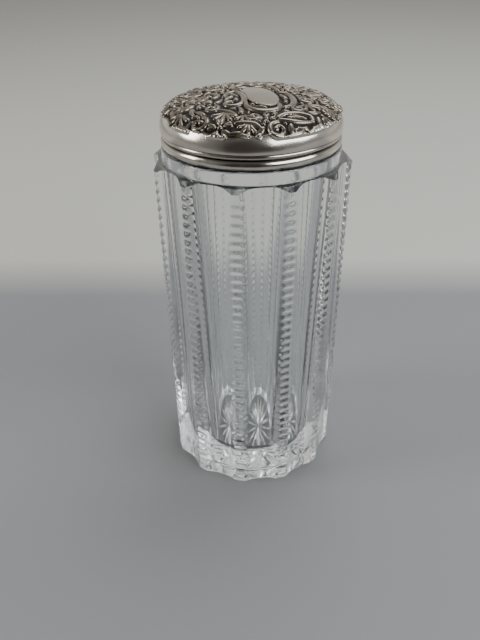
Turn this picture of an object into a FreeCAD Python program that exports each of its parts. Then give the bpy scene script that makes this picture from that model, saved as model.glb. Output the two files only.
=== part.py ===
"""Silver-topped powder jar: a twelve-sided pressed-glass jar with a lift-off domed silver lid.

The frame is +Z up, in millimetres. The origin is the middle of the foot, at the height of the
surface that the jar stands on. One panel of the jar faces +X, and another faces -Y.
"""

import FreeCAD, Part

import math
import os

import Sketcher
from FreeCAD import Vector

doc = FreeCAD.newDocument("powder_jar")

# ------------------------------------------------------------------------------------------
# Driving dimensions, in millimetres unless the note says otherwise
# ------------------------------------------------------------------------------------------
DIMENSIONS = [
    # jar, outside
    ("side_count", 12, "number of panels round the jar"),
    ("ridge_radius_foot", 29.6, "axis to a ridge at the foot"),
    ("ridge_radius_top", 31.5, "axis to a ridge at its top"),
    ("ridge_width", 2.0, "width of the land on a ridge at its top"),
    ("flute_depth_top", 1.6, "hollow of a panel behind the line between its lands, at the top"),
    ("flute_depth_foot", 1.15, "the same at the foot"),
    ("shoulder_height", 113.4, "foot to the flat of the shoulder"),
    ("shoulder_bevel", 1.8, "how far the bevel of the shoulder reaches in from the ridges"),
    ("shoulder_slope", 36, "fall of that bevel, in degrees"),
    ("foot_bevel", 0.4, "bevel of the ridges at the foot"),
    # notches across the ridges
    ("notch_pitch", 2.86, "step from notch to notch up a ridge"),
    ("notch_depth", 0.55, "depth of a notch below the land of the ridge"),
    ("notch_opening", 2.1, "height of a notch at the land"),
    ("notch_start", 3.4, "foot to the middle of the lowest notch"),
    # collar and neck that carry the lid
    ("shoulder_flat", 1.7, "width of the flat between the bevel and the glass collar"),
    ("collar_height", 3.9, "shoulder flat to the ledge that the lid rests on"),
    ("collar_round", 0.6, "rounding of the ledge's outer edge"),
    ("ledge_width", 1.7, "width of the ledge between the collar's side and the neck"),
    ("neck_height", 8.0, "ledge to the lip of the neck"),
    ("neck_wall", 2.6, "thickness of the neck at the lip"),
    ("lip_round", 0.9, "rounding of the lip"),
    # inside
    ("cavity_foot_radius", 16.4, "inner radius just above the floor"),
    ("floor_thickness", 7.9, "foot to the floor inside"),
    ("floor_round", 3.2, "rounding between the floor and the wall"),
    # star under the foot
    ("foot_ring_radius", 20.0, "inner radius of the flat ring that the jar rests on"),
    ("foot_hollow", 0.4, "height of the star's field above that ring"),
    ("ray_count", 16, "rays of the star"),
    ("ray_reach", 17.3, "axis to the tip of a ray"),
    ("ray_shoulder", 8.0, "axis to where a ray is widest"),
    ("ray_depth", 1.3, "depth of a ray above the star's field"),
    # lid
    ("lid_clearance", 0.3, "gap between the neck and the band round it"),
    ("sheet_thickness", 0.5, "thickness of the silver sheet"),
    ("solder_gap", 0.05, "gap filled by solder between the band and what is fixed round it"),
    ("moulding_height", 3.2, "height of the half-round moulding at the lid's rim"),
    ("moulding_reach", 0.8, "how far that moulding stands out"),
    ("wire_height", 1.6, "height of the half-round wire above the moulding"),
    ("wire_reach", 0.6, "how far that wire stands out"),
    ("border_reach", 0.85, "how far the border of the top stands out"),
    ("border_height", 1.0, "height of the upright border of the top"),
    ("dome_height", 9.2, "border to the crown"),
    ("knuckle_radius", 7.0, "radius where the side of the top turns into the dome"),
    ("cartouche_length", 20.0, "long axis of the bare oval boss near the crown"),
    ("cartouche_width", 10.4, "short axis of that boss"),
    ("cartouche_rise", 0.4, "how far that boss stands above the dome"),
    ("cartouche_x", 2.2, "axis of the lid to the middle of the boss, towards +X"),
    ("cartouche_y", -3.3, "the same towards +Y"),
    ("cartouche_turn", 103, "+X to the long axis of the boss, in degrees"),
]

sheet = doc.addObject("Spreadsheet::Sheet", "Sizes")
for row, (alias, value, note) in enumerate(DIMENSIONS, start=1):
    sheet.set(f"A{row}", alias)
    sheet.set(f"B{row}", str(value))
    sheet.set(f"C{row}", note)
    sheet.setAlias(f"B{row}", alias)
doc.recompute()

# Heights and radii that follow from the driving dimensions, as expressions
HALF_SIDE = "(180 deg / Sizes.side_count)"
RIDGE_TIP = "(Sizes.shoulder_height - Sizes.shoulder_bevel * tan(Sizes.shoulder_slope * 1 deg))"
SHOULDER_RADIUS = "(Sizes.ridge_radius_top - Sizes.shoulder_bevel)"
COLLAR_RADIUS = f"({SHOULDER_RADIUS} - Sizes.shoulder_flat)"
NECK_RADIUS = f"({COLLAR_RADIUS} - Sizes.ledge_width)"
MOUTH_RADIUS = f"({NECK_RADIUS} - Sizes.neck_wall)"
LEDGE = "(Sizes.shoulder_height + Sizes.collar_height)"
LIP = f"({LEDGE} + Sizes.neck_height)"
BAND_INSIDE = f"({NECK_RADIUS} + Sizes.lid_clearance)"
BAND_OUTSIDE = f"({BAND_INSIDE} + Sizes.sheet_thickness)"
SEAT = f"({BAND_OUTSIDE} + Sizes.solder_gap)"
BORDER_RADIUS = f"({SEAT} + Sizes.border_reach)"
BORDER_FOOT = "(Sizes.moulding_height + Sizes.wire_height)"
DOME_FOOT = f"({BORDER_FOOT} + Sizes.border_height)"

FULL_TURN = 360
SAME_PLACE = 0.01       # edges nearer than this to a place are the ones meant
OVERRUN = 2             # how far a cutter passes the face that it cuts


def size(expression):
    """Number that an expression on the spreadsheet gives now."""
    return float(sheet.evalExpression(expression))


# ------------------------------------------------------------------------------------------
# Helpers for bodies, sketches and features
# ------------------------------------------------------------------------------------------
def new_body(label):
    body = doc.addObject("PartDesign::Body", label)
    body.Label = label
    return body


def new_sketch(body, name, plane):
    """Empty sketch on one of the body's own origin planes."""
    sketch = body.newObject("Sketcher::SketchObject", name)
    origin_plane = next(f for f in body.Origin.OriginFeatures if f.Role == plane)
    sketch.AttachmentSupport = [(origin_plane, "")]
    sketch.MapMode = "FlatFace"
    return sketch


def bind(sketch, kind, *where, value):
    """Adds a constraint whose value follows an expression."""
    index = sketch.addConstraint(Sketcher.Constraint(kind, *where, size(value)))
    sketch.setExpression(f"Constraints[{index}]", value)


def pin_point(sketch, geometry, end, radius, height):
    """Holds one end of a line or arc at the place that two expressions give."""
    for kind, place, axis in (("DistanceX", radius, -2), ("DistanceY", height, -1)):
        if size(place) == 0:
            sketch.addConstraint(Sketcher.Constraint("PointOnObject", geometry, end, axis))
        else:
            bind(sketch, kind, -1, 1, geometry, end, value=place)


def arc_between(start, end, radius):
    """Short arc from start to end that bulges to the right of the way."""
    way = end - start
    right = Vector(way.y, -way.x, 0).normalize()
    to_centre = math.sqrt(radius ** 2 - (way.Length / 2) ** 2)
    return Part.Arc(start, (start + end) / 2 + right * (radius - to_centre), end)


def draw_section(body, name, corners, arcs=None, inward=()):
    """Closed half section in the XZ plane, its corners in counter-clockwise order.

    corners holds (radius, height) expressions. arcs gives the radius expression of a side
    that is an arc, by the number of the corner that the side starts from. An arc bulges out
    of the section, or into it where inward lists its number.
    """
    sketch = new_sketch(body, name, "XZ_Plane")
    arcs = arcs or {}
    points = [Vector(size(radius), size(height), 0) for radius, height in corners]
    count = len(points)
    first_end, last_end = 1, 2
    ends = []
    for number, start in enumerate(points):
        end = points[(number + 1) % count]
        if number in inward:
            # a sketch keeps every arc counter-clockwise, so this one runs backwards
            sketch.addGeometry(arc_between(end, start, size(arcs[number])))
            ends.append((last_end, first_end))
            continue
        if number in arcs:
            sketch.addGeometry(arc_between(start, end, size(arcs[number])))
        else:
            sketch.addGeometry(Part.LineSegment(start, end))
        ends.append((first_end, last_end))
    for number, (radius, height) in enumerate(corners):
        previous = (number - 1) % count
        sketch.addConstraint(Sketcher.Constraint(
            "Coincident", previous, ends[previous][1], number, ends[number][0]))
        pin_point(sketch, number, ends[number][0], radius, height)
    for number, radius in arcs.items():
        bind(sketch, "Radius", number, value=radius)
    return sketch


def revolve(body, name, sketch):
    turned = body.newObject("PartDesign::Revolution", name)
    turned.Profile = sketch
    turned.ReferenceAxis = (sketch, ["V_Axis"])
    turned.Angle = FULL_TURN
    doc.recompute()
    return turned


def edges_at(shape, radius, height):
    """Names of the circular edges round the axis at this radius and height."""
    names = []
    for number, edge in enumerate(shape.Edges, start=1):
        curve = edge.Curve
        if not isinstance(curve, Part.Circle):
            continue
        if abs(curve.Radius - radius) < SAME_PLACE and abs(curve.Center.z - height) < SAME_PLACE:
            names.append(f"Edge{number}")
    return names


def round_edges(body, name, base, places, radius):
    """Fillet on the circular edges at the given (radius, height) expressions."""
    names = []
    for edge_radius, edge_height in places:
        names += edges_at(base.Shape, size(edge_radius), size(edge_height))
    fillet = body.newObject("PartDesign::Fillet", name)
    fillet.Base = (base, names)
    fillet.setExpression("Radius", radius)
    doc.recompute()
    return fillet


# ------------------------------------------------------------------------------------------
# Jar: one pressing of clear glass, turned section first, then flutes, notches and star
# ------------------------------------------------------------------------------------------
blank = new_body("jar_blank")
blank_section = draw_section(blank, "jar_section", [
    ("0", "Sizes.foot_hollow"),
    ("Sizes.foot_ring_radius - Sizes.foot_hollow", "Sizes.foot_hollow"),
    ("Sizes.foot_ring_radius", "0"),
    ("Sizes.ridge_radius_foot - Sizes.foot_bevel", "0"),
    ("Sizes.ridge_radius_foot", "Sizes.foot_bevel"),
    ("Sizes.ridge_radius_top", RIDGE_TIP),
    (SHOULDER_RADIUS, "Sizes.shoulder_height"),
    (COLLAR_RADIUS, "Sizes.shoulder_height"),
    (COLLAR_RADIUS, LEDGE),
    (NECK_RADIUS, LEDGE),
    (NECK_RADIUS, LIP),
    (MOUTH_RADIUS, LIP),
    ("Sizes.cavity_foot_radius", "Sizes.floor_thickness"),
    ("0", "Sizes.floor_thickness"),
])
turned_blank = revolve(blank, "turned_blank", blank_section)
floor_rounded = round_edges(blank, "floor_rounded", turned_blank,
                            [("Sizes.cavity_foot_radius", "Sizes.floor_thickness")],
                            "Sizes.floor_round")
collar_rounded = round_edges(blank, "collar_rounded", floor_rounded,
                             [(COLLAR_RADIUS, LEDGE)], "Sizes.collar_round")
lip_rounded = round_edges(blank, "lip_rounded", collar_rounded,
                          [(NECK_RADIUS, LIP), (MOUTH_RADIUS, LIP)],
                          "Sizes.lip_round")


# One flute radius serves the whole height. It is set at the top, by the land between flutes.
HALF_FLUTE_TOP = f"(Sizes.ridge_radius_top * sin({HALF_SIDE}) - Sizes.ridge_width / 2)"
FLUTE_RADIUS = f"(({HALF_FLUTE_TOP}^2 + Sizes.flute_depth_top^2) / (2 * Sizes.flute_depth_top))"


def flute_axis(ridge_radius, depth):
    """Axis of the jar to the axis of a flute that is this deep between ridges at this radius."""
    half_flute_squared = f"({depth} * (2 * {FLUTE_RADIUS} - {depth}))"
    return f"(sqrt({ridge_radius}^2 - {half_flute_squared}) + {FLUTE_RADIUS} - {depth})"


FLUTE_FOOT = flute_axis("Sizes.ridge_radius_foot", "Sizes.flute_depth_foot")
FLUTE_TOP = flute_axis("Sizes.ridge_radius_top", "Sizes.flute_depth_top")
FLUTE_LEAN = f"atan(({FLUTE_TOP} - {FLUTE_FOOT}) / {RIDGE_TIP})"

flute = blank.newObject("PartDesign::SubtractiveCylinder", "flute")
flute.Placement = FreeCAD.Placement(Vector(), FreeCAD.Rotation(Vector(0, 1, 0), 1))
flute.setExpression("Placement.Base.x", f"{FLUTE_FOOT} - {OVERRUN} * tan({FLUTE_LEAN})")
flute.setExpression("Placement.Base.z", f"-{OVERRUN}")
flute.setExpression("Placement.Rotation.Angle", FLUTE_LEAN)
flute.setExpression("Radius", FLUTE_RADIUS)
flute.setExpression("Height", f"Sizes.shoulder_height / cos({FLUTE_LEAN}) + 2 * {OVERRUN}")
doc.recompute()

flutes = blank.newObject("PartDesign::PolarPattern", "flutes")
flutes.Originals = [flute]
flutes.Axis = (next(f for f in blank.Origin.OriginFeatures if f.Role == "Z_Axis"), [""])
flutes.Angle = FULL_TURN
flutes.setExpression("Occurrences", "Sizes.side_count")
blank.Tip = flutes
doc.recompute()


def notch_cutters():
    """One V-shaped bar for every notch, lying across its ridge."""
    foot_radius = size("Sizes.ridge_radius_foot")
    top_radius = size("Sizes.ridge_radius_top")
    ridge_tip = size(RIDGE_TIP)
    pitch = size("Sizes.notch_pitch")
    depth = size("Sizes.notch_depth")
    half_opening = size("Sizes.notch_opening") / 2
    half_width = foot_radius * math.sin(math.radians(size(HALF_SIDE))) / 2
    overrun = OVERRUN / 2
    bars = []
    height = size("Sizes.notch_start")
    while height < ridge_tip - pitch / 2:
        ridge = foot_radius + (top_radius - foot_radius) * height / ridge_tip
        reach = half_opening * (depth + overrun) / depth
        bottom = Vector(ridge - depth, -half_width, height)
        lower = Vector(ridge + overrun, -half_width, height - reach)
        upper = Vector(ridge + overrun, -half_width, height + reach)
        outline = Part.makePolygon([bottom, lower, upper, bottom])
        bars.append(Part.Face(outline).extrude(Vector(0, 2 * half_width, 0)))
        height += pitch
    return bars


def copies_round_axis(shapes, count, first_angle):
    """Copies of the shapes at equal steps round the Z axis."""
    placed = []
    for number in range(count):
        angle = first_angle + number * FULL_TURN / count
        for shape in shapes:
            placed.append(shape.rotated(Vector(), Vector(0, 0, 1), angle))
    return placed


def star_ray(half_angle):
    """Four-sided pyramid over a kite: one ray of the star, pointing along +X."""
    base_height = size("Sizes.foot_hollow") - size("Sizes.ray_depth")
    apex_height = size("Sizes.foot_hollow") + size("Sizes.ray_depth")
    shoulder = size("Sizes.ray_shoulder")
    spread = 2 * shoulder * math.tan(half_angle)
    reach = 2 * size("Sizes.ray_reach") - shoulder
    centre = Vector(-shoulder, 0, base_height)
    left = Vector(shoulder, -spread, base_height)
    tip = Vector(reach, 0, base_height)
    right = Vector(shoulder, spread, base_height)
    apex = Vector(shoulder, 0, apex_height)
    corners = [centre, left, tip, right]
    faces = [Part.Face(Part.makePolygon(corners + [centre]))]
    for start, end in zip(corners, corners[1:] + corners[:1]):
        faces.append(Part.Face(Part.makePolygon([start, end, apex, start])))
    return Part.Solid(Part.Shell(faces))


side_count = round(size("Sizes.side_count"))
ray_count = round(size("Sizes.ray_count"))
half_side = FULL_TURN / side_count / 2

cutters = doc.addObject("Part::Feature", "notches_and_star")
cutters.Shape = Part.makeCompound(
    copies_round_axis(notch_cutters(), side_count, half_side)
    + copies_round_axis([star_ray(math.pi / ray_count)], ray_count, 0))

jar = doc.addObject("Part::Cut", "glass_jar")
jar.Label = "glass_jar"
jar.Base = blank
jar.Tool = cutters
doc.recompute()


# ------------------------------------------------------------------------------------------
# Lid: silver top, band, half-round wire and rim moulding, each drawn up from the lid's rim
# ------------------------------------------------------------------------------------------
def new_lid_piece(label):
    piece = new_body(label)
    piece.setExpression("Placement.Base.z", LEDGE)
    return piece


# Band: plain sleeve that slips over the neck and stands on the ledge of the collar
band = new_lid_piece("lid_band")
band_section = draw_section(band, "band_section", [
    (BAND_INSIDE, "0"),
    (BAND_OUTSIDE, "0"),
    (BAND_OUTSIDE, DOME_FOOT),
    (BAND_INSIDE, DOME_FOOT),
])
revolve(band, "band_turned", band_section)


def half_round(label, foot, height, reach):
    """Half-round ring soldered round the band, its flat side inwards."""
    ring = new_lid_piece(label)
    radius = f"(({height} / 2)^2 + {reach}^2) / (2 * {reach})"
    section = draw_section(ring, f"{label}_section", [
        (SEAT, foot),
        (SEAT, f"{foot} + {height}"),
    ], arcs={0: radius})
    revolve(ring, f"{label}_turned", section)
    return ring


rim = half_round("rim_moulding", "0", "Sizes.moulding_height", "Sizes.moulding_reach")
wire = half_round("seam_wire", "Sizes.moulding_height", "Sizes.wire_height", "Sizes.wire_reach")

# Top: one stamped sheet, an upright border that turns in to the band, a tight knuckle and a
# shallow dome. The dome's arc is tangent to the knuckle's and level at the axis.
KNUCKLE_CENTRE = f"({BORDER_RADIUS} - Sizes.knuckle_radius)"
CROWN_RADIUS = f"(({KNUCKLE_CENTRE}^2 + Sizes.dome_height^2 - Sizes.knuckle_radius^2)" \
               " / (2 * (Sizes.dome_height - Sizes.knuckle_radius)))"
KNUCKLE_LEAN = f"asin({KNUCKLE_CENTRE} / ({CROWN_RADIUS} - Sizes.knuckle_radius))"


def dome_point(inset):
    """Where knuckle and dome meet, and the crown, on a surface this far inside the sheet."""
    reach = f"(Sizes.knuckle_radius - {inset})"
    radius = f"{KNUCKLE_CENTRE} + {reach} * sin({KNUCKLE_LEAN})"
    height = f"{DOME_FOOT} + {reach} * cos({KNUCKLE_LEAN})"
    return radius, height


top = new_lid_piece("lid_top")
top_section = draw_section(top, "top_section", [
    (SEAT, BORDER_FOOT),
    (BORDER_RADIUS, BORDER_FOOT),
    (BORDER_RADIUS, DOME_FOOT),
    dome_point("0"),
    ("0", f"{DOME_FOOT} + Sizes.dome_height"),
    ("0", f"{DOME_FOOT} + Sizes.dome_height - Sizes.sheet_thickness"),
    dome_point("Sizes.sheet_thickness"),
    (f"{BORDER_RADIUS} - Sizes.sheet_thickness", DOME_FOOT),
    (f"{BORDER_RADIUS} - Sizes.sheet_thickness", f"{BORDER_FOOT} + Sizes.sheet_thickness"),
    (SEAT, f"{BORDER_FOOT} + Sizes.sheet_thickness"),
], arcs={
    2: "Sizes.knuckle_radius",
    3: CROWN_RADIUS,
    5: f"{CROWN_RADIUS} - Sizes.sheet_thickness",
    6: "Sizes.knuckle_radius - Sizes.sheet_thickness",
}, inward=(5, 6))
revolve(top, "top_turned", top_section)

# Cartouche: half an ellipsoid that lies flat on the inner face of the dome and rises through it
crown_centre = Vector(0, 0, size(f"{DOME_FOOT} + Sizes.dome_height - {CROWN_RADIUS}"))
aside = Vector(size("Sizes.cartouche_x"), size("Sizes.cartouche_y"), 0)
outward = Vector(aside.x, aside.y, math.sqrt(size(CROWN_RADIUS) ** 2 - aside.Length ** 2))
outward.normalize()
upright = Vector(0, 0, 1)
cartouche = top.newObject("PartDesign::AdditiveEllipsoid", "cartouche")
cartouche.Placement = FreeCAD.Placement(
    crown_centre + outward * size(f"{CROWN_RADIUS} - Sizes.sheet_thickness"),
    FreeCAD.Rotation(upright, outward) * FreeCAD.Rotation(upright, size("Sizes.cartouche_turn")))
cartouche.setExpression("Radius1", "Sizes.sheet_thickness + Sizes.cartouche_rise")
cartouche.setExpression("Radius2", "Sizes.cartouche_length / 2")
cartouche.setExpression("Radius3", "Sizes.cartouche_width / 2")
cartouche.Angle1 = 0
top.Tip = cartouche
doc.recompute()

# ------------------------------------------------------------------------------------------
# Checks and export
# ------------------------------------------------------------------------------------------
for item in doc.Objects:
    if "Invalid" in item.State or "Error" in item.State:
        raise RuntimeError(f"{item.Name} did not recompute: {item.State}")

pieces = [jar, band, rim, wire, top]
for piece in pieces:
    if piece.Shape.isNull() or not piece.Shape.isValid():
        raise RuntimeError(f"{piece.Label} has no valid shape")

os.makedirs("parts", exist_ok=True)
for piece in pieces:
    piece.Shape.exportStep(f"parts/{piece.Label}.step")
    print(f"{piece.Label}: {len(piece.Shape.Solids)} solid, {piece.Shape.Volume:.0f} mm3")
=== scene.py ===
import math
import random

import bmesh
import bpy
import numpy as np
from mathutils import Matrix, Vector, kdtree


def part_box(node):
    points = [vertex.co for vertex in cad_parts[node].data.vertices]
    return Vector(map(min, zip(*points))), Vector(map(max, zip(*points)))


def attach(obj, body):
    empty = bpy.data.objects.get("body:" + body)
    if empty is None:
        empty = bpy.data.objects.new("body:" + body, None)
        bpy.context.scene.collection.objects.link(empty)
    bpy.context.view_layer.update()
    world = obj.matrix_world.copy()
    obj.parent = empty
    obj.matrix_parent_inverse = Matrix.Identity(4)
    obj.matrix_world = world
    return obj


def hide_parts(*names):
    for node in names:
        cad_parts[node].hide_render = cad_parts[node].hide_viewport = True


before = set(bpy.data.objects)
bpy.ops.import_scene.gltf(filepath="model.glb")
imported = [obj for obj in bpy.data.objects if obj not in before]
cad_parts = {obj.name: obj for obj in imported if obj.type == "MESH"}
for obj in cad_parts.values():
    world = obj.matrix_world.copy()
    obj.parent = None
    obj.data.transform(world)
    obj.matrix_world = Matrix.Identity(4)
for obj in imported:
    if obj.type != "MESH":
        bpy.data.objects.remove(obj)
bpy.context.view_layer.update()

# ==========================================================================================
# Camera: stands a little above the lid and looks down on the jar, whose nearest panel is
# turned slightly to the right of it.
# ==========================================================================================
MM = 0.001
VIEW_TURN = math.radians(-6.6)      # viewer's place round the jar, from -Y towards +X
CAMERA_DISTANCE = 207.9 * MM
CAMERA_HEIGHT = 183.5 * MM
CAMERA_TILT = math.radians(32.39)
CAMERA_SWING = math.radians(-1.18)
CAMERA_ROLL = math.radians(-0.79)

camera = bpy.data.objects.new("camera", bpy.data.cameras.new("camera"))
bpy.context.scene.collection.objects.link(camera)
bpy.context.scene.camera = camera
camera.data.sensor_fit = "VERTICAL"
camera.data.sensor_height = 24
camera.data.lens = 25.46
camera.data.clip_start = 0.005
camera.matrix_world = (
    Matrix.Rotation(VIEW_TURN, 4, "Z")
    @ Matrix.Translation((0, -CAMERA_DISTANCE, CAMERA_HEIGHT))
    @ Matrix.Rotation(-CAMERA_SWING, 4, "Z")
    @ Matrix.Rotation(math.radians(90) - CAMERA_TILT, 4, "X")
    @ Matrix.Rotation(CAMERA_ROLL, 4, "Z"))

# ==========================================================================================
# Floor and light: a grey table top in front of a pale board, in daylight from a large window
# on the right and a smaller one on the left; the room on the viewer's side is dim.
# ==========================================================================================
FLOOR_DROP = 0.05 * MM
TABLE_FRONT, TABLE_BACK, TABLE_SIDE = -0.34, 2.2, 1.3
BOARD_FOOT = 0.118


def new_material(name):
    """Empty node material with its output node."""
    material = bpy.data.materials.new(name)
    material.use_nodes = True
    material.node_tree.nodes.clear()
    output = material.node_tree.nodes.new("ShaderNodeOutputMaterial")
    return material, material.node_tree, output


def add_node(tree, kind, **inputs):
    """Node of this kind with constant inputs; a name with underscores stands for spaces."""
    node = tree.nodes.new(kind)
    for name, value in inputs.items():
        node.inputs[name.replace("_", " ")].default_value = value
    return node


def ramp(tree, factor, stops):
    """Colour ramp driven by a socket; stops are (position, colour)."""
    node = tree.nodes.new("ShaderNodeValToRGB")
    elements = node.color_ramp.elements
    while len(elements) < len(stops):
        elements.new(0.5)
    for element, (position, colour) in zip(elements, stops):
        element.position = position
        element.color = (*colour, 1)
    tree.links.new(factor, node.inputs["Fac"])
    return node.outputs["Color"]


def viewer_depth(tree, vector):
    """How far a point or direction lies away from the viewer, past the axis of the jar."""
    node = tree.nodes.new("ShaderNodeVectorMath")
    node.operation = "DOT_PRODUCT"
    node.inputs[1].default_value = (-math.sin(VIEW_TURN), math.cos(VIEW_TURN), 0)
    tree.links.new(vector, node.inputs[0])
    return node.outputs["Value"]


floor_mesh = bpy.data.meshes.new("floor")
floor_bm = bmesh.new()
bmesh.ops.create_grid(floor_bm, x_segments=8, y_segments=8, size=1)
bmesh.ops.scale(floor_bm, verts=floor_bm.verts,
                vec=(TABLE_SIDE, (TABLE_BACK - TABLE_FRONT) / 2, 1))
bmesh.ops.translate(floor_bm, verts=floor_bm.verts,
                    vec=(0, (TABLE_BACK + TABLE_FRONT) / 2, -FLOOR_DROP))
bmesh.ops.rotate(floor_bm, verts=floor_bm.verts, cent=(0, 0, 0),
                 matrix=Matrix.Rotation(VIEW_TURN, 3, "Z"))
floor_bm.to_mesh(floor_mesh)
floor_bm.free()
floor = bpy.data.objects.new("floor", floor_mesh)
bpy.context.scene.collection.objects.link(floor)

cloth, cloth_tree, cloth_output = new_material("table_and_board")
cloth_place = add_node(cloth_tree, "ShaderNodeTexCoord")
cloth_fade = add_node(cloth_tree, "ShaderNodeMapRange", From_Min=BOARD_FOOT - 0.012,
                      From_Max=BOARD_FOOT + 0.03)
cloth_tree.links.new(viewer_depth(cloth_tree, cloth_place.outputs["Object"]),
                     cloth_fade.inputs["Value"])
cloth_colour = ramp(cloth_tree, cloth_fade.outputs["Result"],
                    [(0.0, (0.27, 0.272, 0.275)), (1.0, (0.58, 0.565, 0.515))])
cloth_shader = add_node(cloth_tree, "ShaderNodeBsdfPrincipled", Roughness=0.9)
cloth_tree.links.new(cloth_colour, cloth_shader.inputs["Base Color"])
cloth_tree.links.new(cloth_shader.outputs["BSDF"], cloth_output.inputs["Surface"])
floor_mesh.materials.append(cloth)

room = bpy.data.worlds.new("room")
bpy.context.scene.world = room
room.use_nodes = True
room_tree = room.node_tree
room_place = add_node(room_tree, "ShaderNodeTexCoord")
room_depth = add_node(room_tree, "ShaderNodeMapRange", From_Min=-1.0, From_Max=0.8)
room_tree.links.new(viewer_depth(room_tree, room_place.outputs["Generated"]),
                    room_depth.inputs["Value"])
room_colour = ramp(room_tree, room_depth.outputs["Result"],
                   [(0.07, (0.045, 0.04, 0.037)), (0.16, (0.17, 0.17, 0.172)),
                    (0.55, (0.27, 0.278, 0.29)), (0.78, (0.64, 0.645, 0.64)),
                    (1.0, (0.84, 0.83, 0.79))])
room_shader = room_tree.nodes["Background"]
room_tree.links.new(room_colour, room_shader.inputs["Color"])
room_shader.inputs["Strength"].default_value = 0.9


def window_light(name, azimuth, height, distance, width, tall, power, colour):
    """Rectangular light that faces the middle of the jar; azimuth is seen from the viewer."""
    lamp = bpy.data.lights.new(name, "AREA")
    lamp.shape = "RECTANGLE"
    lamp.size = width
    lamp.size_y = tall
    lamp.energy = power
    lamp.color = colour
    holder = bpy.data.objects.new(name, lamp)
    turn = VIEW_TURN + math.radians(azimuth)
    place = Vector((math.sin(turn) * distance, -math.cos(turn) * distance, height))
    aim = Vector((0, 0, 0.08)) - place
    holder.matrix_world = Matrix.Translation(place) @ aim.to_track_quat("-Z", "Y").to_matrix().to_4x4()
    bpy.context.scene.collection.objects.link(holder)


window_light("right_window", 55, 0.48, 0.75, 0.85, 0.38, 6.2, (0.94, 0.97, 1.0))
window_light("left_window", -82, 0.42, 0.75, 0.26, 0.38, 2.6, (1.0, 0.97, 0.92))
window_light("sky_above", 150, 0.95, 0.45, 0.7, 0.5, 4.4, (0.90, 0.95, 1.0))

# ==========================================================================================
# Jar: one pressing of clear glass, fire-polished. Twelve hollow flutes meet in ridges that
# are notched all the way up, a plain collar carries the lid, and a star is cut underneath.
# ==========================================================================================
SIDES = 12
COLUMNS_PER_PANEL = 24
HALF_PANEL = math.pi / SIDES
jar_low, jar_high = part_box("glass_jar")
RIDGE_TOP = 31.5 * MM
RIDGE_FOOT = 29.6 * MM
RIDGE_WIDTH = 2.0 * MM
FLUTE_DEPTH_TOP = 1.6 * MM
FLUTE_DEPTH_FOOT = 1.15 * MM
SHOULDER_HEIGHT = 113.4 * MM
SHOULDER_RADIUS = 29.7 * MM
SHOULDER_SLOPE = math.tan(math.radians(36))
RIDGE_TIP = SHOULDER_HEIGHT - (RIDGE_TOP - SHOULDER_RADIUS) * SHOULDER_SLOPE
COLLAR_RADIUS = 28.0 * MM
LEDGE_HEIGHT = 117.3 * MM
NECK_RADIUS = 26.3 * MM
MOUTH_RADIUS = 23.7 * MM
CAVITY_FOOT_RADIUS = 16.4 * MM
FLOOR_HEIGHT = 7.9 * MM
FLOOR_ROUND = 3.2 * MM
NOTCH_PITCH = 2.86 * MM
NOTCH_DEPTH = 0.55 * MM
NOTCH_HALF_OPENING = 1.05 * MM
NOTCH_START = 3.4 * MM
NOTCH_COUNT = math.ceil((RIDGE_TIP - NOTCH_PITCH / 2 - NOTCH_START) / NOTCH_PITCH)
FOOT_BEVEL = 0.4 * MM
FOOT_RING_RADIUS = 20.0 * MM
FOOT_HOLLOW = 0.4 * MM
RAY_COUNT = 16
RAY_REACH = 17.3 * MM
RAY_SHOULDER = 8.0 * MM
RAY_DEPTH = 1.3 * MM
EDGE_SOFTNESS = 0.35 * MM
POLISH = 0.11 * MM


def arc(centre, radius, start, end, steps):
    """Points on an arc of the section; angles in degrees, both ends included."""
    angles = [math.radians(start + (end - start) * k / steps) for k in range(steps + 1)]
    return [(centre[0] + radius * math.cos(a), centre[1] + radius * math.sin(a)) for a in angles]


def straight(start, end, steps):
    """Points on a straight of the section, without its last point."""
    return [(start[0] + (end[0] - start[0]) * k / steps, start[1] + (end[1] - start[1]) * k / steps)
            for k in range(steps)]


def spin_section(section, columns, closed):
    """Surface spun from a half section of (radius, height) points round the axis."""
    bm = bmesh.new()
    points = [bm.verts.new((radius, 0, height)) for radius, height in section]
    pairs = list(zip(points, points[1:]))
    if closed:
        pairs.append((points[-1], points[0]))
    edges = [bm.edges.new(pair) for pair in pairs]
    bmesh.ops.spin(bm, geom=points + edges, cent=(0, 0, 0), axis=(0, 0, 1), dvec=(0, 0, 0),
                   angle=2 * math.pi, steps=columns, use_merge=True, use_duplicate=False)
    bmesh.ops.remove_doubles(bm, verts=bm.verts, dist=1e-6)
    bmesh.ops.dissolve_degenerate(bm, edges=bm.edges, dist=1e-7)
    return bm


def finish_piece(name, bm, material, sharp_angle):
    """Object from a bmesh, smooth but for edges sharper than sharp_angle in degrees."""
    bmesh.ops.recalc_face_normals(bm, faces=bm.faces)
    for face in bm.faces:
        face.smooth = True
    for edge in bm.edges:
        if len(edge.link_faces) == 2 and edge.calc_face_angle(0) > math.radians(sharp_angle):
            edge.smooth = False
    mesh = bpy.data.meshes.new(name)
    bm.to_mesh(mesh)
    bm.free()
    mesh.materials.append(material)
    piece = bpy.data.objects.new(name, mesh)
    bpy.context.scene.collection.objects.link(piece)
    return piece


def ridge_radius(height):
    return RIDGE_FOOT + (RIDGE_TOP - RIDGE_FOOT) * height / RIDGE_TIP


half_flute_top = RIDGE_TOP * math.sin(HALF_PANEL) - RIDGE_WIDTH / 2
FLUTE_RADIUS = (half_flute_top ** 2 + FLUTE_DEPTH_TOP ** 2) / (2 * FLUTE_DEPTH_TOP)


def flute_axis(ridge, depth):
    """Axis of the jar to the axis of a flute that is this deep between ridges at this radius."""
    half_flute_squared = depth * (2 * FLUTE_RADIUS - depth)
    return math.sqrt(ridge ** 2 - half_flute_squared) + FLUTE_RADIUS - depth


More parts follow.
